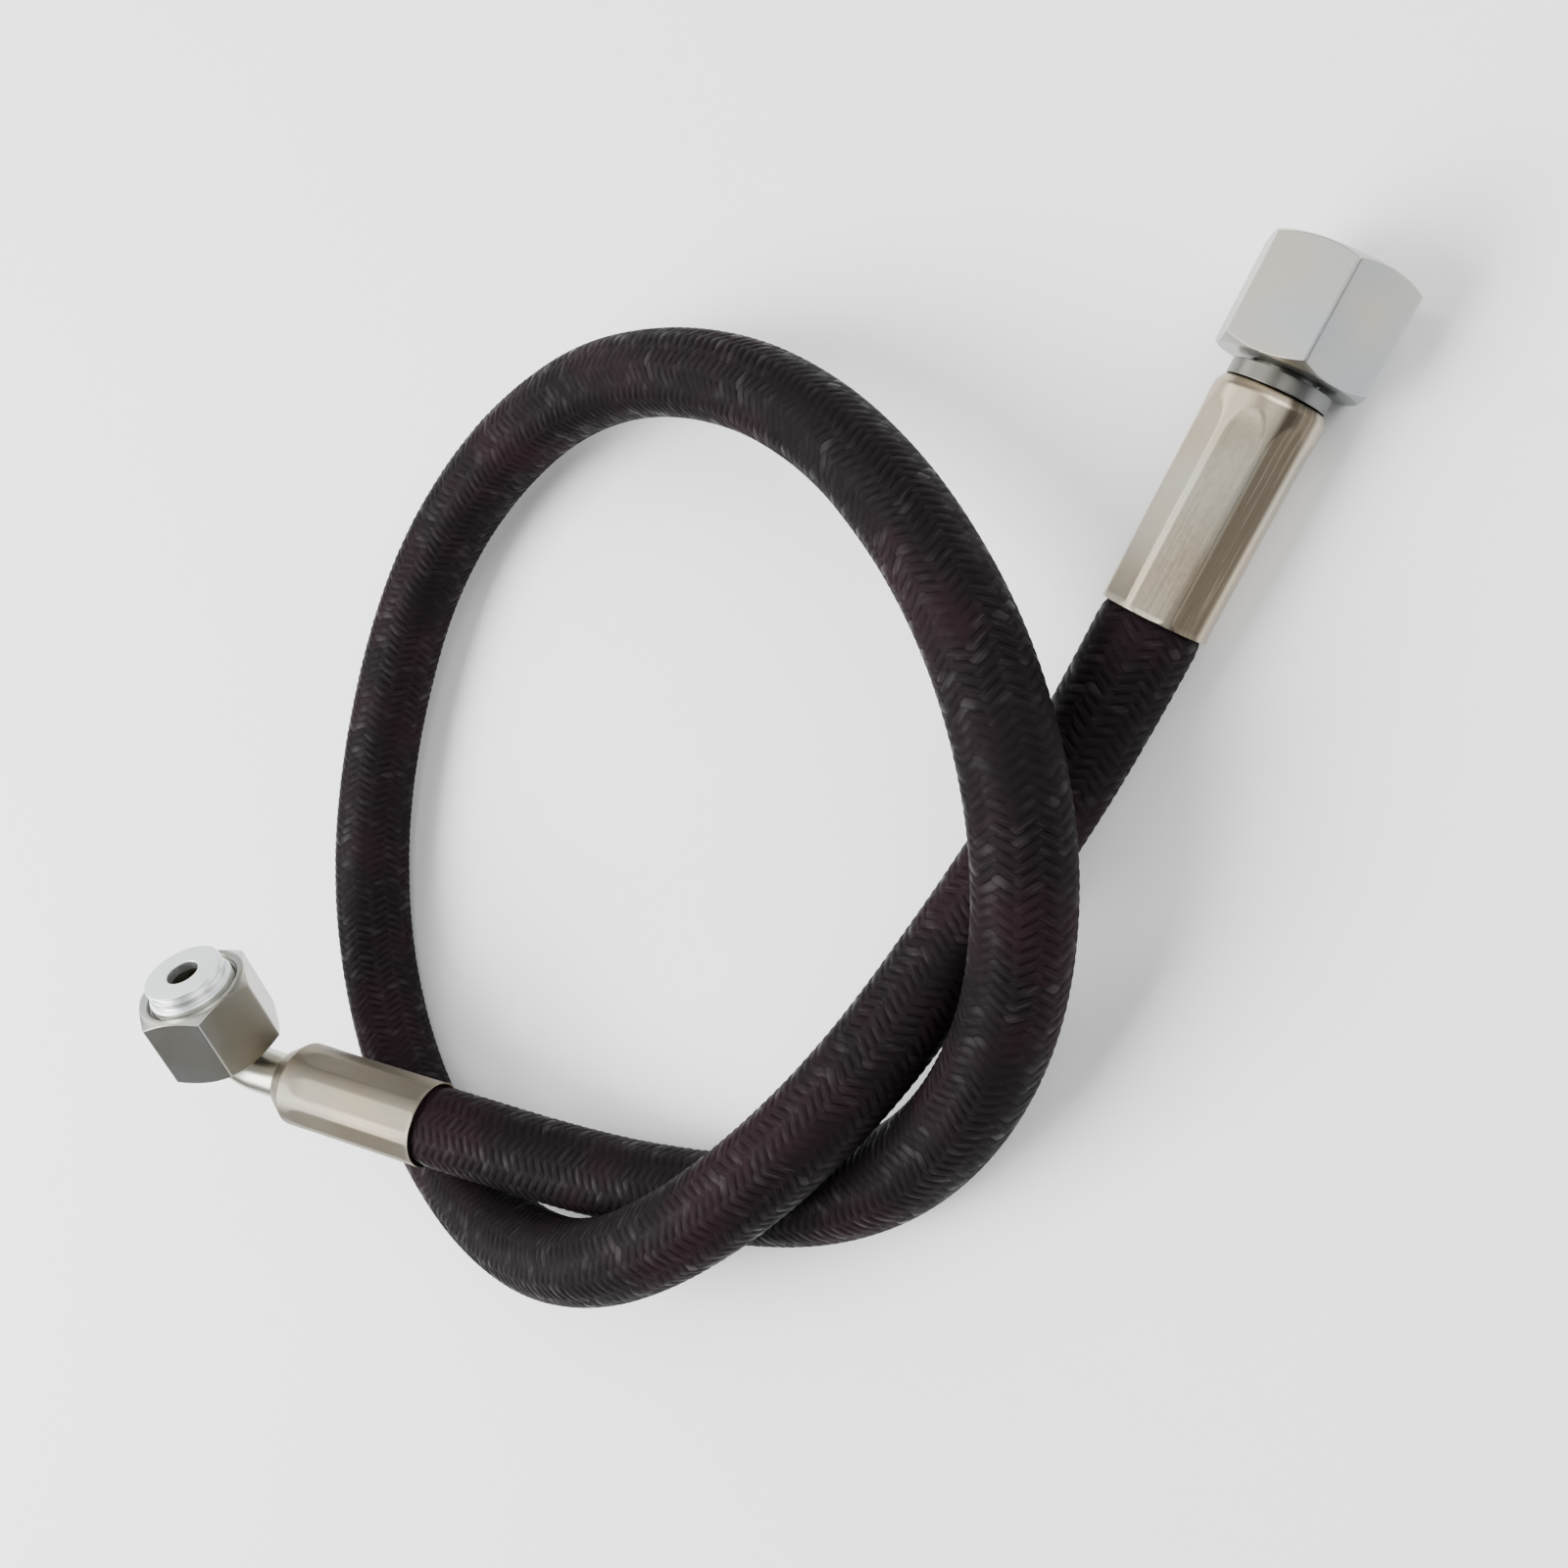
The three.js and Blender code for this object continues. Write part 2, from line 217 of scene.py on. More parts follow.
def braided_hose():
    line, reach = resampled(spline(ROUTE, STEPS), ALONG, TUCKED)
    _, xs, ys = carried_frames(line, unit((0, 0, 1)))
    around, far = np.meshgrid(np.arange(AROUND) / AROUND, reach)
    wander = YARN_WANDER / CARRIERS
    woven_around = around + wander * (patches(around, far, 5, 90, seed=1) - 0.5)
    woven_along = far / LEAD + wander * (patches(around, far, 6, 110, seed=2) - 0.5)
    pressed = 1 - 0.6 * patches(around, far, 4, 50, seed=3)
    height = weave_height(woven_around, woven_along) * pressed
    from_end = np.minimum(reach, reach[-1] - reach) - TUCKED
    pinch = PINCH * np.clip(1 - from_end / PINCH_REACH, 0, 1) ** 2
    sway = SWAY * np.sin(around * 2 * TURN + far * 41)
    radius = HOSE_R - YARN_RISE - YARN_WAVE + height + sway - pinch[:, None]
    angle = around[..., None] * TURN
    ring = xs[:, None] * np.cos(angle) + ys[:, None] * np.sin(angle)
    grid = line[:, None] + radius[..., None] * ring
    hose = mesh_piece("braided_hose", grid, woven_around, woven_along, wraps=False, sharp_degrees=80)
    return hose, line


hose, centreline = braided_hose()
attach(hose, "root")
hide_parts("hose_cover")


# ---- frames of the two fittings: columns x, y, z and the place of the hose's end ----
def end_frame(point, direction, side):
    z = unit(direction)
    y = unit(np.cross(z, side))
    x = np.cross(y, z)
    place = np.eye(4)
    place[:3, 0], place[:3, 1], place[:3, 2], place[:3, 3] = x, y, z, point
    return place


def turned_about_z(place, degrees):
    turn = np.array(Matrix.Rotation(math.radians(degrees), 4, "Z"))
    return place @ turn


def moved(place, x=0, z=0, tilt_degrees=0):
    """The frame moved in its own x and z by millimetres, then tilted from z towards x."""
    step = np.array(Matrix.Translation((x * MM, 0, z * MM)))
    tilt = np.array(Matrix.Rotation(math.radians(tilt_degrees), 4, "Y"))
    return place @ step @ tilt


# The same driving dimensions as the CAD pieces, in millimetres.
GAP = 0.3
BORE_R = 4.5
NECK_R = 6.5
FERRULE_LENGTH = 49.5
FERRULE_R = 11.8
FERRULE_GRIP_R = 10.3
FERRULE_FLANGE = 3.5
DIES = 8  # that squeeze a ferrule
COLLAR_LENGTH = 3.3
COLLAR_R = 10.6
NUT_FLATS = 30
NUT_LENGTH = 23
NUT_LIP = 3.6
NUT_LIP_R = 7.2
NUT_CHAMFER = 1.5
NUT_CHAMFER_R = 14.8
THREAD_CREST_R = 11.95
THREAD_ROOT_R = 12.7
THREAD_PITCH = 25.4 / 14
SLEEVE_LENGTH = 9
SLEEVE_BACK = 5.8  # from a nut's back to its sleeve's back, nut drawn forward
NUT_BACK_A = 54.2  # from the hose's end
SLEEVE_SOCKET = 6
ELBOW_DEG = 80
ELBOW_R = 11
ELBOW_CORNER = 17.7
ELBOW_FACE = 36.5
ELBOW_ROLL_DEG = -52
# where the painted dark reflection lies on ferrule a
DARK_REFLECTION_SIDE_A = 0.165  # of a turn round ferrule a, from straight up
NUT_B_PULLED_BACK = 13.7
NUT_A_TURN_DEG = 30  # a flat lies on the floor
NUT_B_TURN_DEG = 17

route_line = spline(ROUTE, STEPS)
frame_a = end_frame(route_line[-1], ROUTE[-1] - ROUTE[-2], (0, 0, 1))
outwards_b = unit(ROUTE[0] - ROUTE[1])
level_b = unit(np.cross((0, 0, 1), outwards_b))
rise_b = np.cross(outwards_b, level_b)
roll_b = math.radians(ELBOW_ROLL_DEG)
frame_b = end_frame(route_line[0], outwards_b, rise_b * math.cos(roll_b) + level_b * math.sin(roll_b))
head_a = moved(frame_a, z=NUT_BACK_A + SLEEVE_BACK + SLEEVE_LENGTH)
elbow_turn = math.radians(ELBOW_DEG)
head_b = moved(
    frame_b,
    x=ELBOW_FACE * math.sin(elbow_turn),
    z=FERRULE_LENGTH + ELBOW_CORNER + ELBOW_FACE * math.cos(elbow_turn),
    tilt_degrees=ELBOW_DEG,
)


# ---- turned pieces ----
def softened(corners, radius=0.3, support=0.12, steps=3):
    """A closed outline of (radius, height) with each corner rounded off and held by support points."""
    corners = np.array(corners, float)
    outline = []
    for before, corner, after in zip(np.roll(corners, 1, 0), corners, np.roll(corners, -1, 0)):
        back, ahead = before - corner, after - corner
        back_length, ahead_length = np.linalg.norm(back), np.linalg.norm(ahead)
        cut = min(radius, 0.4 * back_length, 0.4 * ahead_length)
        hold = min(support, 0.08 * back_length, 0.08 * ahead_length)
        back, ahead = back / back_length, ahead / ahead_length
        outline.append(corner + back * (cut + hold))
        for t in np.linspace(0, 1, steps + 1):
            outline.append(corner + back * cut * (1 - t) ** 2 + ahead * cut * t ** 2)
        outline.append(corner + ahead * (cut + hold))
    return np.array(outline)


def filled_in(outline, spacing):
    """The closed outline with extra points on its long stretches."""
    points = []
    for start, end in zip(outline, np.roll(outline, -1, 0)):
        pieces = max(1, int(np.linalg.norm(end - start) / spacing))
        points.extend(start + (end - start) * k / pieces for k in range(pieces))
    return np.array(points)


def turned_piece(name, place, radii, heights, angles):
    """A ring-shaped mesh about the frame's z axis from [row, column] radii and heights in millimetres."""
    local = np.stack([radii * np.cos(angles), radii * np.sin(angles), heights], axis=-1) * MM
    grid = local @ place[:3, :3].T + place[:3, 3]
    middle = np.stack([radii.mean(1), heights.mean(1)], -1)
    reach = np.append(0, np.cumsum(np.linalg.norm(np.diff(middle, axis=0), axis=1)))
    return mesh_piece(name, grid, angles / TURN, reach[:, None] * MM, wraps=True)


def lathe_piece(name, place, corners, sides=120, radius=0.3, spacing=2.0):
    outline = filled_in(softened(corners, radius), spacing)
    angles = np.arange(sides) / sides * TURN
    radii = np.repeat(outline[:, :1], sides, 1)
    heights = np.repeat(outline[:, 1:], sides, 1)
    return turned_piece(name, place, radii, heights, angles)


def smooth_step(x, low, high):
    t = np.clip((x - low) / (high - low), 0, 1)
    return t * t * (3 - 2 * t)


def crimped_ferrule(name, place, nose_length, nose_r, flat_r, turn_deg):
    """A ferrule squeezed by eight dies: eight long flats with a thin ridge between them, each ending in
    an arch where its die lifted off."""
    outline = filled_in(softened([
        (FERRULE_GRIP_R, 3.2),
        (FERRULE_R - 0.45, 0),
        (FERRULE_R + 0.05, 0),
        (FERRULE_R + 0.05, FERRULE_LENGTH - nose_length),
        (nose_r, FERRULE_LENGTH),
        (NECK_R + 0.12, FERRULE_LENGTH),
        (NECK_R + 0.12, FERRULE_LENGTH - FERRULE_FLANGE),
        (FERRULE_GRIP_R, FERRULE_LENGTH - FERRULE_FLANGE),
    ], radius=0.45), 0.45)
    sides = 320
    angles = np.arange(sides) / sides * TURN
    radii = np.repeat(outline[:, :1], sides, 1)
    heights = np.repeat(outline[:, 1:], sides, 1)
    from_flat = np.mod(angles + math.radians(turn_deg), TURN / DIES) - TURN / DIES / 2
    crimp_end = FERRULE_LENGTH - nose_length - 2
    lifted = np.clip((heights - crimp_end) / 8 + 1, 0, 1) ** 2.5 + smooth_step(-heights, -1.2, 0.3) * 0.6
    flat = (flat_r + (FERRULE_R + 0.25 - flat_r) * lifted) / np.cos(from_flat)
    outside = radii > FERRULE_GRIP_R + 0.6
    softness = 0.03
    least = -softness * np.logaddexp(-radii / softness, -flat / softness)
    return turned_piece(name, place, np.where(outside, least, radii), heights, angles)


def hexagon_angles():
    """Angles round a nut, close together at its corners."""
    half = np.concatenate([np.linspace(0, 24, 9), [26, 27.2, 28, 28.6, 29.1, 29.5, 29.8]])
    sector = np.concatenate([half[:0:-1] * -1, half, [30]])
    return np.radians(np.concatenate([sector + 30 + 60 * k for k in range(6)]))


def hexagon_r(angles):
    """Distance to the side of a hexagon with a corner at angle 0 and its corners slightly rounded."""
    sides = np.radians(30 + 60 * np.arange(6))
    sharpness = 110
    reach = np.clip(np.cos(angles[:, None] - sides), 0, None) ** sharpness
    return NUT_FLATS / 2 / reach.sum(axis=1) ** (1 / sharpness)


def threaded_nut(name, place):
    """Hexagon nut with turned chamfers, an inward lip at its back and a cut thread inside."""
    angles = hexagon_angles()
    side = hexagon_r(angles)
    slope = NUT_CHAMFER / (NUT_FLATS / math.sqrt(3) - NUT_CHAMFER_R)
    rise = slope * (side - NUT_CHAMFER_R)
    edge = 0.1
    flat = np.ones_like(side)
    outside = [
        ((NUT_LIP_R + 0.35) * flat, 0 * flat),
        ((NUT_LIP_R + 0.6) * flat, 0 * flat),
        (11 * flat, 0 * flat),
        ((NUT_CHAMFER_R - 0.25) * flat, 0 * flat),
        ((NUT_CHAMFER_R - 0.1) * flat, 0 * flat),
        (NUT_CHAMFER_R + (side - NUT_CHAMFER_R) * 0.08, rise * 0.08),
        (NUT_CHAMFER_R + (side - NUT_CHAMFER_R) * 0.5, rise * 0.5),
        (side - edge * 2.2, rise - slope * edge * 2.2),
        (side - edge * 1.1, rise - slope * edge * 1.1),
        (side - edge * 0.25, rise + edge * 0.2),
        (side, rise + edge * 1.3),
        (side, rise + edge * 2.6),
    ]
    flank_start = rise + edge * 2.6
    flanks = [
        (side, flank_start + (NUT_LENGTH - 2 * flank_start) * t)
        for t in np.linspace(0, 1, 12)[1:-1]
    ]
    mouth = [(radius, NUT_LENGTH - height) for radius, height in reversed(outside[4:])]
    rows = outside + flanks + mouth
    bevel_top = THREAD_ROOT_R + 0.45
    rows += [
        ((bevel_top + 0.5) * flat, NUT_LENGTH * flat),
        ((bevel_top + 0.15) * flat, NUT_LENGTH * flat),
        (bevel_top * flat, (NUT_LENGTH - 0.12) * flat),
    ]
    thread_start, thread_end = NUT_LENGTH - 1.0, NUT_LIP + 3.0
    samples = round((thread_start - thread_end) / THREAD_PITCH * 10)
    for t in np.linspace(0, 1, samples):
        height = thread_start + (thread_end - thread_start) * t
        turns = height / THREAD_PITCH + angles / TURN
        tooth = np.abs(np.mod(turns, 1) - 0.5) * 2
        tooth = np.clip(tooth * 1.35 - 0.17, 0, 1)
        faded = smooth_step(t, 0.0, 0.06) * (1 - smooth_step(t, 0.93, 1.0))
        radius = THREAD_ROOT_R - (THREAD_ROOT_R - THREAD_CREST_R) * tooth * faded
        rows.append((radius, height * flat))
    rows += [
        (THREAD_ROOT_R * flat, (NUT_LIP + 2.0) * flat),
        (THREAD_ROOT_R * flat, (NUT_LIP + 0.3) * flat),
        ((THREAD_ROOT_R - 0.3) * flat, NUT_LIP * flat),
        (10 * flat, NUT_LIP * flat),
        ((NUT_LIP_R + 0.2) * flat, NUT_LIP * flat),
        (NUT_LIP_R * flat, (NUT_LIP - 0.2) * flat),
        (NUT_LIP_R * flat, 0.35 * flat),
        ((NUT_LIP_R + 0.1) * flat, 0.1 * flat),
    ]
    radii = np.array([radius for radius, _ in rows])
    heights = np.array([height for _, height in rows])
    return turned_piece(name, place, radii, heights, angles)


def stem_corners(neck_end, collar):
    """A barbed tail, a neck, and a collar on the neck where one is asked for."""
    first_barb, pitch, barb_length, barbs = 8, 6.5, 5, 5
    corners = [(BORE_R, 6), (5.0, 6)]
    for k in range(barbs):
        root = first_barb + k * pitch
        corners += [(5.5, root), (6.0, root + barb_length)]
    corners += [(5.5, first_barb + barbs * pitch), (5.5, 44), (NECK_R, 45)]
    if collar:
        base = FERRULE_LENGTH + GAP
        corners += [
            (NECK_R, base),
            (COLLAR_R, base),
            (COLLAR_R, base + COLLAR_LENGTH),
            (NECK_R, base + COLLAR_LENGTH),
        ]
    return corners + [(NECK_R, neck_end), (BORE_R, neck_end)]


def flat_face_sleeve(name, place):
    """The head with the flat sealing face, at the frame's z = 0; two shallow grooves ring its side."""
    length = SLEEVE_LENGTH
    return lathe_piece(name, moved(place, z=-length), [
        (NECK_R + 0.15, 0),
        (11.7, 0),
        (11.7, length - 4.7),
        (10.2, length - 4.5),
        (10.2, length - 3.9),
        (10.9, length - 3.8),
        (10.9, length - 2.0),
        (9.8, length - 1.9),
        (9.8, length - 0.7),
        (10.9, length - 0.6),
        (10.9, length),
        (BORE_R, length),
        (BORE_R, SLEEVE_SOCKET),
        (NECK_R + 0.15, SLEEVE_SOCKET),
    ], sides=160, radius=0.25)


def bent_tube(name):
    """Straight, bend, straight, with a wall: its outside rows run out and its inside rows come back."""
    out = np.array([math.sin(elbow_turn), 0, math.cos(elbow_turn)])
    corner = np.array([0, 0, FERRULE_LENGTH + ELBOW_CORNER])
    bend_start = corner[2] - ELBOW_R * math.tan(elbow_turn / 2)
    start = np.array([0, 0, FERRULE_LENGTH - 1.5])
    end = corner + out * (ELBOW_FACE - SLEEVE_LENGTH + SLEEVE_SOCKET - GAP)
    turns = np.linspace(0, elbow_turn, 28)
    bend = np.stack([ELBOW_R * (1 - np.cos(turns)), 0 * turns, bend_start + ELBOW_R * np.sin(turns)], -1)
    centres = np.vstack([start, bend, (bend[-1] + end) / 2, end])
    turns = np.concatenate([[0], turns, [elbow_turn, elbow_turn]])
    xs = np.stack([np.cos(turns), 0 * turns, -np.sin(turns)], -1)
    y = np.array([0, 1, 0])
    sides = 72
    angles = np.arange(sides) / sides * TURN
    oval = 0.18 * np.sin(np.clip(turns / elbow_turn, 0, 1) * math.pi)

    def rows(radius):
        wide = radius + oval[:, None] * (np.sin(angles) ** 2 - np.cos(angles) ** 2)
        ring = xs[:, None] * np.cos(angles)[None, :, None] + y * np.sin(angles)[None, :, None]
        return centres[:, None] + wide[..., None] * ring

    grid = np.concatenate([rows(NECK_R - 0.02), rows(BORE_R)[::-1]]) * MM
    world = grid @ frame_b[:3, :3].T + frame_b[:3, 3]
    lengths = np.linalg.norm(np.diff(centres, axis=0), axis=1)
    reach = np.append(0, np.cumsum(lengths)) * MM
    reach = np.concatenate([reach, reach[-1] + (reach[-1] - reach[::-1])])
    return mesh_piece(name, world, angles / TURN, reach[:, None], wraps=True, sharp_degrees=40)


def belongs(piece, body, node):
    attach(piece, body)
    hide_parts(node)
    return piece


ferrule_a = belongs(
    crimped_ferrule("crimped_ferrule_a", frame_a, 1.8, 10.9, 11.2, turn_deg=8),
    "root", "ferrule_a",
)
ferrule_b = belongs(
    crimped_ferrule("crimped_ferrule_b", frame_b, 5.5, 8.2, 11.5, turn_deg=15),
    "root", "ferrule_b",
)
neck_end_a = NUT_BACK_A + SLEEVE_BACK + SLEEVE_SOCKET - GAP
stem_a = belongs(
    lathe_piece("collared_stem_a", frame_a, stem_corners(neck_end_a, collar=True), radius=0.2),
    "root", "stem_a",
)
stem_b = belongs(
    lathe_piece("barbed_stem_b", frame_b, stem_corners(FERRULE_LENGTH - 2, collar=False), radius=0.2),
    "root", "stem_b",
)
tube_b = belongs(bent_tube("bent_tube_b"), "root", "elbow_tube_b")
sleeve_a = belongs(flat_face_sleeve("flat_face_sleeve_a", head_a), "root", "sleeve_a")
sleeve_b = belongs(flat_face_sleeve("flat_face_sleeve_b", head_b), "root", "sleeve_b")
nut_place_a = turned_about_z(moved(frame_a, z=NUT_BACK_A), NUT_A_TURN_DEG)
nut_back_b = -SLEEVE_LENGTH - SLEEVE_BACK - NUT_B_PULLED_BACK
nut_place_b = turned_about_z(moved(head_b, z=nut_back_b), NUT_B_TURN_DEG)
nut_a = belongs(threaded_nut("hexagon_nut_a", nut_place_a), "nut_a", "swivel_nut_a")
nut_b = belongs(threaded_nut("hexagon_nut_b", nut_place_b), "nut_b", "swivel_nut_b")


def thrust_ring(name, nut_place, body, node):
    base = NUT_LIP + GAP
    corners = [(6.9, base), (11.4, base), (11.4, base + 1.6), (6.9, base + 1.6)]
    return belongs(lathe_piece(name, nut_place, corners, radius=0.2), body, node)


ring_a = thrust_ring("split_ring_a", nut_place_a, "ring_a", "thrust_ring_a")
ring_b = thrust_ring("split_ring_b", nut_place_b, "ring_b", "thrust_ring_b")


# ---- materials ----
class Field:
    """A value in a material's node tree, so that shader arithmetic reads as Python arithmetic."""

    def __init__(self, tree, socket):
        self.tree = tree
        self.socket = socket

    def maths(self, operation, *others):
        node = self.tree.nodes.new("ShaderNodeMath")
        node.operation = operation
        for value, socket in zip((self, *others), node.inputs):
            feed(self.tree, value, socket)
        return Field(self.tree, node.outputs[0])

    def __add__(self, other):
        return self.maths("ADD", other)

    def __sub__(self, other):
        return self.maths("SUBTRACT", other)

    def __mul__(self, other):
        return self.maths("MULTIPLY", other)

    def __mod__(self, other):
        return self.maths("FLOORED_MODULO", other)

    def __pow__(self, other):
        return self.maths("POWER", other)

    def __abs__(self):
        return self.maths("ABSOLUTE")

    def whole(self):
        return self.maths("FLOOR")

    def cosine(self):
        return self.maths("COSINE")

    def sine(self):
        return self.maths("SINE")

    def between(self, low, high, start=0.0, end=1.0):
        """The value's place between low and high, as a value from start to end."""
        node = self.tree.nodes.new("ShaderNodeMapRange")
        node.interpolation_type = "SMOOTHSTEP"
        for value, socket in zip((self, low, high, start, end), node.inputs):
            feed(self.tree, value, socket)
        return Field(self.tree, node.outputs[0])


def feed(tree, value, socket):
    if isinstance(value, Field):
        tree.links.new(value.socket, socket)
    else:
        socket.default_value = value


class Finish:
    """A procedural material being built."""

    def __init__(self, name, metallic, specular=0.5):
        self.material = bpy.data.materials.new(name)
        self.material.use_nodes = True
        self.tree = self.material.node_tree
        self.shader = self.tree.nodes["Principled BSDF"]
        self.shader.inputs["Metallic"].default_value = metallic
        self.shader.inputs["Specular IOR Level"].default_value = specular

    def node(self, kind, inputs, output=0, **settings):
        node = self.tree.nodes.new("ShaderNode" + kind)
        for key, value in settings.items():
            setattr(node, key, value)
        for key, value in inputs.items():
            feed(self.tree, value, node.inputs[key])
        return Field(self.tree, node.outputs[output])

    def surface(self):
        """The two coordinates on the piece's surface: round it, and along it."""
        split = self.tree.nodes.new("ShaderNodeSeparateXYZ")
        feed(self.tree, self.node("UVMap", {}, uv_map="surface"), split.inputs[0])
        return Field(self.tree, split.outputs[0]), Field(self.tree, split.outputs[1])

    def place(self):
        return self.node("TexCoord", {}, output="Object")

    def vector(self, x, y, z=0.0):
        return self.node("CombineXYZ", {"X": x, "Y": y, "Z": z})

    def noise(self, vector, scale, detail=3.0, roughness=0.5):
        inputs = {"Vector": vector, "Scale": scale, "Detail": detail, "Roughness": roughness}
        return self.node("TexNoise", inputs)

    def mixed(self, amount, first, second):
        return self.node("Mix", {0: amount, 6: first, 7: second}, output=2, data_type="RGBA")

    def choice(self, amount, first, second):
        return self.node("Mix", {0: amount, 2: first, 3: second}, output=0, data_type="FLOAT")

    def bump(self, height, strength, distance):
        return self.node("Bump", {"Height": height, "Strength": strength, "Distance": distance})

    def finished(self, colour, roughness, normal):
        for key, value in (("Base Color", colour), ("Roughness", roughness), ("Normal", normal)):
            feed(self.tree, value, self.shader.inputs[key])
        return self.material


def braided_cover():
    """Black rubber-soaked textile yarns, two over two, worn a little paler on their crowns, with painted
    shade in the grooves between the yarns.
    """
    finish = Finish("braided_cover", metallic=0.0, specular=0.045)
    around, along = finish.surface()
    right, left = (around + along) * CARRIERS, (around - along) * CARRIERS

    def yarn(across, crossed, over_at):
        crown = abs((across % 1.0) * 2.0 - 1.0) ** YARN_ROUNDNESS * -1.0 + 1.0
        phase = (across.whole() + crossed) % 4.0
        lift = ((phase - over_at) * (math.pi / 2)).cosine()
        return crown, crown * (YARN_RISE / MM) + lift * (YARN_WAVE / MM)

    right_crown, right_height = yarn(right, left, 1.0)
    left_crown, left_height = yarn(left, right, 3.0)
    is_left = left_height.maths("GREATER_THAN", right_height)
    crown = finish.choice(is_left, right_crown, left_crown)
    across = finish.choice(is_left, right, left) % float(CARRIERS)
    run = finish.choice(is_left, left, right) % float(CARRIERS)
    filament_at = finish.vector(across * 8.0, run * 0.5, is_left * 31.0)
    filaments = finish.noise(filament_at, 1.0, detail=3.0, roughness=0.6)
    tone = finish.noise(finish.vector(across.whole() * 3.7, run * 0.35, is_left * 17.0), 1.0, detail=1.0)
    place = finish.place()
    maroon_patches = finish.noise(place, 30.0, detail=3.0)
    smeared = finish.noise(place, 75.0, detail=3.0).between(0.44, 0.62)
    rubbed = finish.noise(place, 420.0, detail=3.0, roughness=0.7)
    groove_shade, yarn_colour = (0.0010, 0.0008, 0.0009, 1), (0.0062, 0.0048, 0.0053, 1)
    maroon, scuffed = (0.0120, 0.0054, 0.0075, 1), (0.055, 0.047, 0.050, 1)
    woven = finish.mixed(maroon_patches.between(0.42, 0.66), yarn_colour, maroon)
    colour = finish.mixed(tone.between(0.54, 0.78, 0.0, 0.24), woven, scuffed)
    colour = finish.mixed((filaments * crown).between(0.45, 0.75, 0.0, 0.35), colour, scuffed)
    # painted shade: near black in the grooves between the yarns, where the crowns fall away
    colour = finish.mixed(crown.between(0.0, 0.6), groove_shade, colour)
    colour = finish.mixed(smeared * 0.75, colour, woven)
    roughness = tone.between(0.45, 0.7, 0.56, 0.30) + rubbed.between(0.3, 0.7, 0.0, 0.14)
    relief = (crown * 0.3 + filaments * crown * 0.4) * (smeared * -0.7 + 1.0) + rubbed * 0.22
    return finish.finished(colour, roughness, finish.bump(relief, 0.6, 0.00024))


def plated_steel(name, warm, cool, roughness, turning, streaks=0.0, reflection_side=None, scratched=0.1):
    """Plated steel: a cloudy tint, marks of the turning tool, thin streaks that run lengthwise, small
    scratches and, on a ferrule, one flat painted dark as a painted dark reflection, speckled by the streaks."""
    finish = Finish(name, metallic=1.0)
    around, along = finish.surface()
    x, y = (around * TURN).cosine(), (around * TURN).sine()
    place = finish.place()
    clouds = finish.noise(place, 42.0, detail=2.0, roughness=0.45)
    tool_marks = finish.noise(finish.vector(x * 0.5, y * 0.5, along * 9000.0), 1.0, detail=2.0, roughness=0.8)
    streak = finish.noise(finish.vector(x * 26.0, y * 26.0, along * 45.0), 1.0, detail=3.0, roughness=0.6)
    specks = finish.noise(place, 900.0, detail=1.0, roughness=0.5)
    scratch_at = finish.vector(x * 6.0 + along * 900.0, y * 6.0, along * 300.0)
    scratches = finish.noise(scratch_at, 1.3, detail=3.0, roughness=0.6).between(0.62, 0.72)
    colour = finish.mixed(clouds.between(0.35, 0.65), warm, cool)
    # shade darkens the streaks and scratches; dark is the colour of the painted dark reflection
    shade, dark = (tuple(share * part for part in warm[:3]) + (1,) for share in (0.55, 0.24))
    colour = finish.mixed(streak.between(0.5, 0.8, 0.0, streaks), colour, shade)
    # painted dark reflection: one flat of the ferrule painted dark, speckled by the streak noise
    if reflection_side is not None:
        from_side = abs((around - (reflection_side - 0.5)) % 1.0 - 0.5)
        painted_reflection = from_side.between(0.062, 0.040) * streak.between(0.2, 0.5, 0.65, 1.0)
        colour = finish.mixed(painted_reflection, colour, dark)
    colour = finish.mixed(scratches * scratched, colour, shade)
    worn = streak.between(0.35, 0.75, 0.0, streaks * 0.2) + clouds.between(0.3, 0.7, -0.03, 0.03)
    rough = worn + specks.between(0.35, 0.75, 0.0, 0.03) + scratches * scratched * 0.5 + roughness
    relief = tool_marks * turning + streak * streaks * 0.6 + specks * turning * 0.2 - scratches * scratched
    return finish.finished(colour, rough, finish.bump(relief, 0.35, 0.00006))


def rubber(name):
    finish = Finish(name, metallic=0.0)
    grain = finish.noise(finish.place(), 700.0, detail=4.0)
    colour = finish.mixed(grain, (0.010, 0.010, 0.010, 1), (0.028, 0.027, 0.026, 1))
    return finish.finished(colour, grain.between(0.3, 0.7, 0.6, 0.8), finish.bump(grain, 0.3, 0.0001))


def crossed_strands(name, dark, light, metallic, scale):
    """A hidden braided layer, seen only where a hose is cut open: two sets of strands crossing."""
    finish = Finish(name, metallic=metallic)
    place = finish.place()
    waves = [
        finish.node("TexWave", {"Vector": place, "Scale": scale, "Distortion": 1.5}, output=1,
                    wave_type="BANDS", bands_direction=direction)
        for direction in ("DIAGONAL", "X")
    ]
    strands = waves[0].maths("MAXIMUM", waves[1])
    colour = finish.mixed(strands, dark, light)
    return finish.finished(colour, strands.between(0.0, 1.0, 0.65, 0.4), finish.bump(strands, 0.5, 0.0003))


def dress(piece, material):
    piece.data.materials.clear()
    piece.data.materials.append(material)


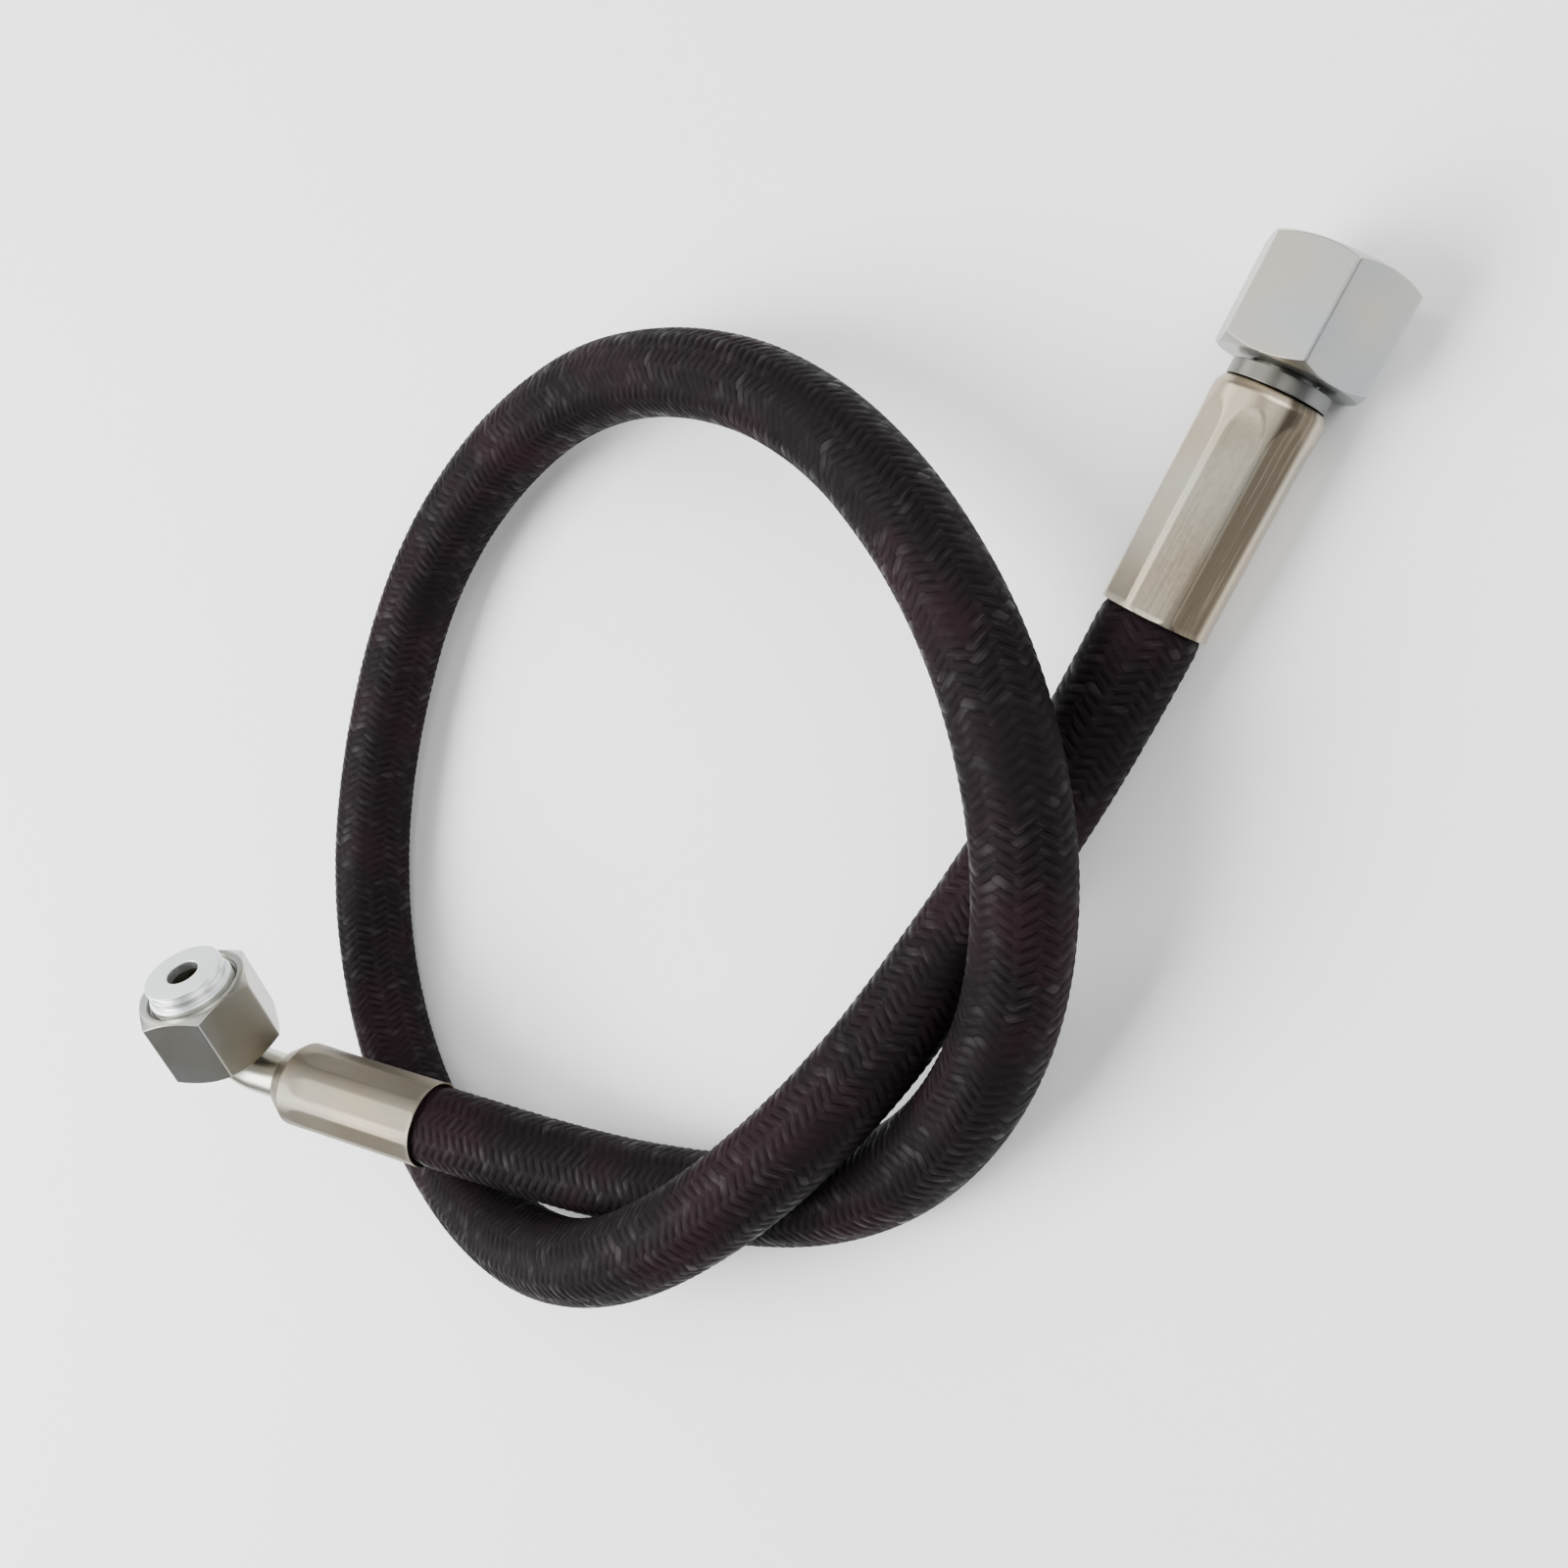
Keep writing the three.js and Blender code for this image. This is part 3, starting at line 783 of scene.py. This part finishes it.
dress(hose, braided_cover())
# ferrule a carries a painted dark reflection on one flat
ferrule_finish = plated_steel(
    "crimped_zinc", (0.42, 0.345, 0.25, 1), (0.39, 0.365, 0.295, 1), 0.33, turning=0.08, streaks=0.35,
    reflection_side=DARK_REFLECTION_SIDE_A)
# ferrule b: the same zinc as ferrule a painted darker, painted shade against the key lamp's light on it; also
# rougher
shaded_ferrule_b_finish = plated_steel(
    "zinc_painted_shade", (0.20, 0.17, 0.125, 1), (0.19, 0.175, 0.14, 1), 0.44, turning=0.12, streaks=0.25)
nut_finish = plated_steel(
    "bright_zinc", (0.37, 0.355, 0.305, 1), (0.325, 0.345, 0.355, 1), 0.31, turning=0.02, streaks=0.03,
    scratched=0.03)
sleeve_finish = plated_steel(
    "turned_face", (0.93, 0.96, 0.96, 1), (0.90, 0.95, 0.97, 1), 0.36, turning=0.3, scratched=0.03)
stem_finish = plated_steel(
    "dark_steel", (0.16, 0.155, 0.135, 1), (0.13, 0.135, 0.135, 1), 0.36, turning=0.4)
tube_finish = plated_steel(
    "drawn_tube", (0.40, 0.375, 0.30, 1), (0.38, 0.38, 0.34, 1), 0.29, turning=0.06, streaks=0.2)
for piece, material in (
    (ferrule_a, ferrule_finish), (ferrule_b, shaded_ferrule_b_finish), (stem_a, stem_finish),
    (stem_b, stem_finish), (tube_b, tube_finish), (sleeve_a, sleeve_finish),
    (sleeve_b, sleeve_finish), (nut_a, nut_finish), (nut_b, nut_finish),
    (ring_a, stem_finish), (ring_b, stem_finish),
):
    dress(piece, material)
for node, material in (
    ("hose_inner_tube", rubber("oil_rubber")),
    ("hose_textile_braid",
     crossed_strands("grey_textile", (0.05, 0.045, 0.04, 1), (0.2, 0.18, 0.16, 1), 0.0, 400.0)),
    ("hose_wire_braid",
     crossed_strands("wire_strands", (0.1, 0.1, 0.1, 1), (0.55, 0.56, 0.58, 1), 1.0, 500.0)),
):
    dress(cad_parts[node], material)


# ---- floor and light ----
def add_floor():
    mesh = bpy.data.meshes.new("floor")
    half = 3.0
    corners = [(-half, -half, 0), (half, -half, 0), (half, half, 0), (-half, half, 0)]
    mesh.from_pydata(corners, [], [(0, 1, 2, 3)])
    floor = bpy.data.objects.new("floor", mesh)
    bpy.context.scene.collection.objects.link(floor)
    finish = Finish("pale_floor", metallic=0.0, specular=0.2)
    grain = finish.noise(finish.place(), 90.0)
    colour = finish.mixed(grain, (0.91, 0.91, 0.91, 1), (0.93, 0.93, 0.93, 1))
    dress(floor, finish.finished(colour, 0.7, finish.bump(grain, 0.05, 0.0002)))


def add_light(name, place, size, power):
    """A square soft box that faces the middle of the object."""
    data = bpy.data.lights.new(name, "AREA")
    data.shape = "SQUARE"
    data.size = size
    data.energy = power
    light = bpy.data.objects.new(name, data)
    towards = unit(np.array((0, 0, 0.02)) - place)
    side = unit(np.cross(towards, (0.0, 0.3, 1.0)))
    up = np.cross(side, towards)
    light.matrix_world = Matrix([
        (side[i], up[i], -towards[i], place[i]) for i in range(3)
    ] + [(0, 0, 0, 1)])
    bpy.context.scene.collection.objects.link(light)


add_floor()
add_light("key", (-0.72, 0.5, 1.1), 1.1, 54)
add_light("fill", (0.9, -0.7, 0.9), 1.1, 22)
add_light("overhead", (0.34, 0.42, 1.15), 0.9, 5.5)
add_light("rim", (0.1, 1.3, 0.7), 0.8, 9)
world = bpy.data.worlds.new("studio")
world.use_nodes = True
world.node_tree.nodes["Background"].inputs["Color"].default_value = (0.93, 0.95, 1.0, 1)
world.node_tree.nodes["Background"].inputs["Strength"].default_value = 0.27
bpy.context.scene.world = world
